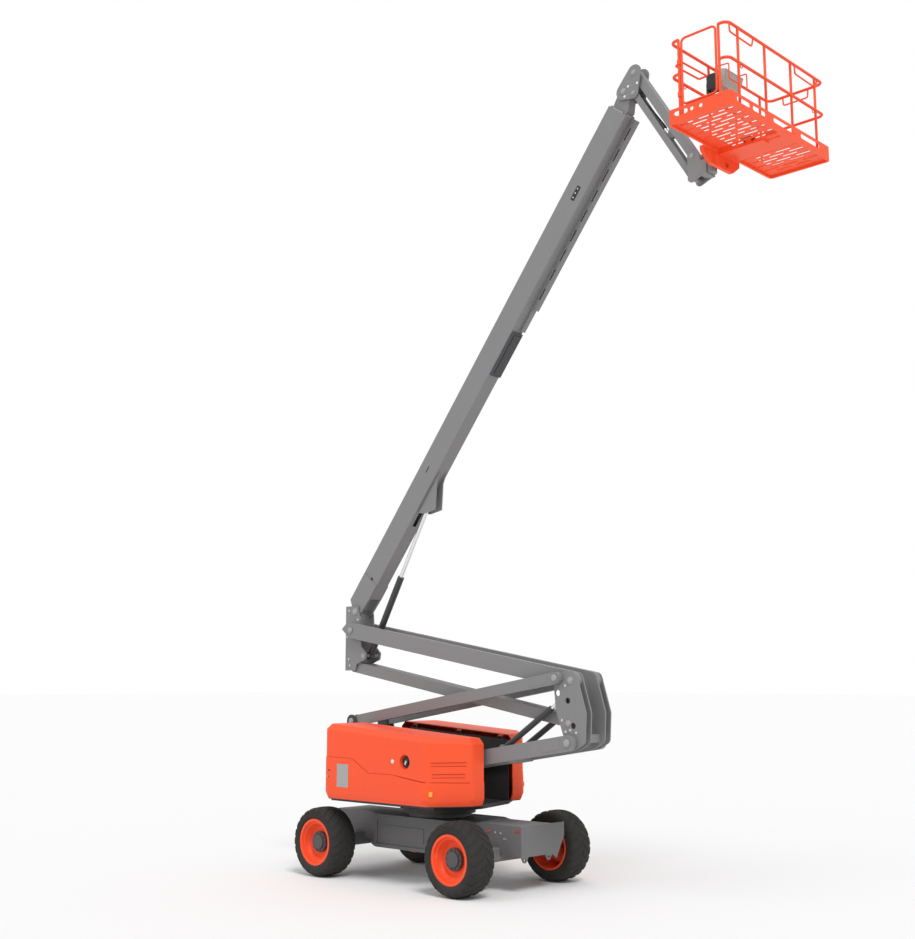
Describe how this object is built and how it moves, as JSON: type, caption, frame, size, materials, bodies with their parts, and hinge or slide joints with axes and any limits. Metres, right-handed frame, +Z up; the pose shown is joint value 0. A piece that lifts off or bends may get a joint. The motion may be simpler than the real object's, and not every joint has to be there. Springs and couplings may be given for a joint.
{
  "type": "articulating boom lift",
  "caption": "Self-propelled articulating boom lift: a folding two-stage riser and a telescopic boom with a jib carry a railed work platform above a slewing turntable.",
  "frame": {"origin": "point on the ground under the turntable's slewing axis, midway between the axles", "axes": "+X towards the platform end, +Y to the machine's left, +Z up"},
  "size_m": [8.1799, 2.49, 11.3526],
  "materials": {
    "orange_paint": "gloss orange",
    "grey_paint": "satin mid grey",
    "chassis_paint": "satin dark grey",
    "dark_paint": "satin near-black",
    "cylinder_paint": "black enamel",
    "rod_chrome": "polished",
    "tyre_rubber": "matt black rubber",
    "iron": "rough casting",
    "console_plastic": "matt grey"
  },
  "bodies": {
    "chassis": {"chassis_frame": "chassis_paint", "slew_ring": "dark_paint", "front_axle": "chassis_paint", "rear_axle": "chassis_paint"},
    "wheel_front_right": {"tyre_front_right": "tyre_rubber", "rim_front_right": "orange_paint"},
    "steer_right": {"knuckle_front_right": "chassis_paint"},
    "wheel_front_left": {"tyre_front_left": "tyre_rubber", "rim_front_left": "orange_paint"},
    "steer_left": {"knuckle_front_left": "chassis_paint"},
    "wheel_rear_right": {"tyre_rear_right": "tyre_rubber", "rim_rear_right": "orange_paint"},
    "wheel_rear_left": {"tyre_rear_left": "tyre_rubber", "rim_rear_left": "orange_paint"},
    "turntable": {"turntable_frame": "dark_paint", "counterweight": "iron", "engine_block": "iron"},
    "cover_right": {"cover_right": "orange_paint"},
    "cover_left": {"cover_left": "orange_paint"},
    "lower_arm": {"lower_arm": "grey_paint"},
    "lower_links": {"lower_links": "grey_paint"},
    "riser_knuckle": {"riser_knuckle": "grey_paint"},
    "upper_arm": {"upper_arm": "grey_paint"},
    "upper_link": {"upper_link": "grey_paint"},
    "upright": {"upright": "grey_paint"},
    "riser_barrels": {"riser_barrels": "cylinder_paint"},
    "riser_rods": {"riser_rods": "rod_chrome"},
    "boom_base": {"boom_base": "grey_paint", "cable_tray": "grey_paint"},
    "boom_mid": {"boom_mid": "grey_paint"},
    "boom_fly": {"boom_fly": "grey_paint"},
    "boom_barrel": {"boom_barrel": "cylinder_paint"},
    "boom_rod": {"boom_rod": "rod_chrome"},
    "jib_mount": {"jib_mount": "grey_paint"},
    "jib_arm": {"jib_arm": "grey_paint"},
    "jib_link": {"jib_link": "grey_paint"},
    "jib_barrel": {"jib_barrel": "cylinder_paint"},
    "jib_rod": {"jib_rod": "rod_chrome"},
    "jib_end": {"jib_end": "grey_paint"},
    "platform": {"platform_support": "orange_paint", "platform_floor": "orange_paint", "toe_boards": "orange_paint", "platform_rails": "orange_paint", "control_console": "console_plastic"},
    "gate": {"platform_gate": "orange_paint"}
  },
  "joints": [
    {"name": "steer_right", "type": "hinge", "parent": "chassis", "child": "steer_right", "pos_m": [1.395, -0.86, 0.5], "axis": [0, 0, 1], "range_deg": [-35, 35]},
    {"name": "roll_front_right", "type": "hinge", "parent": "steer_right", "child": "wheel_front_right", "pos_m": [1.395, -1.0225, 0.5], "axis": [0, 1, 0], "continuous": true},
    {"name": "steer_left", "type": "hinge", "parent": "chassis", "child": "steer_left", "pos_m": [1.395, 0.86, 0.5], "axis": [0, 0, 1], "range_deg": [-35, 35]},
    {"name": "roll_front_left", "type": "hinge", "parent": "steer_left", "child": "wheel_front_left", "pos_m": [1.395, 1.0225, 0.5], "axis": [0, 1, 0], "continuous": true},
    {"name": "roll_rear_right", "type": "hinge", "parent": "chassis", "child": "wheel_rear_right", "pos_m": [-1.395, -1.0225, 0.5], "axis": [0, 1, 0], "continuous": true},
    {"name": "roll_rear_left", "type": "hinge", "parent": "chassis", "child": "wheel_rear_left", "pos_m": [-1.395, 1.0225, 0.5], "axis": [0, 1, 0], "continuous": true},
    {"name": "slew", "type": "hinge", "parent": "chassis", "child": "turntable", "pos_m": [0, 0, 1.03], "axis": [0, 0, 1], "continuous": true},
    {"name": "open_cover_right", "type": "hinge", "parent": "turntable", "child": "cover_right", "pos_m": [0, -0.437, 2.11898], "axis": [-0.9979, 0, 0.0655], "range_deg": [0, 55]},
    {"name": "open_cover_left", "type": "hinge", "parent": "turntable", "child": "cover_left", "pos_m": [0, 0.437, 2.11898], "axis": [0.9979, 0, -0.0655], "range_deg": [0, 55]},
    {"name": "riser_lift", "type": "hinge", "parent": "turntable", "child": "lower_arm", "pos_m": [-1.347, 0, 1.382], "axis": [0, -1, 0], "range_deg": [-9, 58]},
    {"name": "riser_links", "type": "hinge", "parent": "turntable", "child": "lower_links", "pos_m": [-1.55, 0, 2.239], "axis": [0, -1, 0], "range_deg": [-10, 59]},
    {"name": "knuckle_level", "type": "hinge", "parent": "lower_arm", "child": "riser_knuckle", "pos_m": [2.75, 0, 2.045], "axis": [0, -1, 0], "range_deg": [-59, 10]},
    {"name": "upper_riser", "type": "hinge", "parent": "riser_knuckle", "child": "upper_arm", "pos_m": [2.75, 0, 2.87], "axis": [0, -1, 0], "range_deg": [-59, 10]},
    {"name": "upper_riser_link", "type": "hinge", "parent": "riser_knuckle", "child": "upper_link", "pos_m": [2.71, 0, 2.3], "axis": [0, -1, 0], "range_deg": [-59, 10]},
    {"name": "upright_level", "type": "hinge", "parent": "upper_arm", "child": "upright", "pos_m": [-1.76, 0, 3.65], "axis": [0, -1, 0], "range_deg": [-10, 59]},
    {"name": "riser_cylinder_swing", "type": "hinge", "parent": "lower_arm", "child": "riser_barrels", "pos_m": [1.5, 0, 1.93], "axis": [0, -1, 0], "range_deg": [-15, 3]},
    {"name": "riser_rod_stroke", "type": "slide", "parent": "riser_barrels", "child": "riser_rods", "axis": [0.8383, 0, 0.5453], "range_m": [-0.09, 0.5]},
    {"name": "boom_lift", "type": "hinge", "parent": "upright", "child": "boom_base", "pos_m": [-1.75, 0, 3.95], "axis": [0, -1, 0], "range_deg": [-51.3, 20.7]},
    {"name": "boom_cylinder_swing", "type": "hinge", "parent": "upright", "child": "boom_barrel", "pos_m": [-1.55, 0, 3.25], "axis": [0, -1, 0], "range_deg": [-51, 19]},
    {"name": "boom_rod_stroke", "type": "slide", "parent": "boom_barrel", "child": "boom_rod", "axis": [0.4961, 0, 0.8683], "range_m": [-0.62, 0.23]},
    {"name": "boom_extend", "type": "slide", "parent": "boom_base", "child": "boom_mid", "axis": [0.6252, 0, 0.7804], "range_m": [0, 3.35]},
    {"name": "boom_extend_fly", "type": "slide", "parent": "boom_mid", "child": "boom_fly", "axis": [0.6252, 0, 0.7804], "range_m": [0, 3.36]},
    {"name": "head_level", "type": "hinge", "parent": "boom_fly", "child": "jib_mount", "pos_m": [3.71667, 0, 11.01662], "axis": [0, -1, 0], "range_deg": [-32, 64]},
    {"name": "jib_lift", "type": "hinge", "parent": "jib_mount", "child": "jib_arm", "pos_m": [3.89867, 0, 11.23762], "axis": [0, 1, 0], "range_deg": [-118.7, 1.3]},
    {"name": "jib_link", "type": "hinge", "parent": "jib_mount", "child": "jib_link", "pos_m": [3.88367, 0, 10.93762], "axis": [0, 1, 0], "range_deg": [-119.7, 2.3]},
    {"name": "jib_cylinder_swing", "type": "hinge", "parent": "jib_mount", "child": "jib_barrel", "pos_m": [3.88367, 0, 10.93762], "axis": [0, 1, 0], "range_deg": [-117.5, 2.3]},
    {"name": "jib_rod_stroke", "type": "slide", "parent": "jib_barrel", "child": "jib_rod", "axis": [0.5723, 0, -0.82], "range_m": [-0.02, 0.56]},
    {"name": "jib_end_level", "type": "hinge", "parent": "jib_arm", "child": "jib_end", "pos_m": [4.80886, 0, 9.74061], "axis": [0, 1, 0], "range_deg": [-2.3, 119.7]},
    {"name": "platform_rotate", "type": "hinge", "parent": "jib_end", "child": "platform", "pos_m": [5.02987, 0, 9.68561], "axis": [0, 0, 1], "range_deg": [-90, 90]},
    {"name": "open_gate", "type": "hinge", "parent": "platform", "child": "gate", "pos_m": [5.36486, -1.177, 9.68561], "axis": [0, 0, 1], "range_deg": [0, 85]}
  ],
  "couplings": [
    {"joint": "steer_left", "follows": "steer_right", "ratio": 1},
    {"joint": "riser_links", "follows": "riser_lift", "ratio": 1},
    {"joint": "knuckle_level", "follows": "riser_lift", "ratio": -1},
    {"joint": "upper_riser", "follows": "riser_lift", "ratio": -1},
    {"joint": "upper_riser_link", "follows": "riser_lift", "ratio": -1},
    {"joint": "upright_level", "follows": "riser_lift", "ratio": 1},
    {"joint": "riser_cylinder_swing", "follows": "riser_lift", "ratio": -0.24},
    {"joint": "riser_rod_stroke", "follows": "riser_lift", "m_per_rad": 0.48},
    {"joint": "boom_cylinder_swing", "follows": "boom_lift", "ratio": 0.87},
    {"joint": "boom_rod_stroke", "follows": "boom_lift", "m_per_rad": 0.61},
    {"joint": "boom_extend_fly", "follows": "boom_extend", "ratio": 1},
    {"joint": "head_level", "follows": "boom_lift", "ratio": -1},
    {"joint": "jib_link", "follows": "jib_lift", "ratio": 1},
    {"joint": "jib_cylinder_swing", "follows": "jib_lift", "ratio": 0.98},
    {"joint": "jib_rod_stroke", "follows": "jib_lift", "m_per_rad": -0.26},
    {"joint": "jib_end_level", "follows": "jib_lift", "ratio": -1}
  ]
}
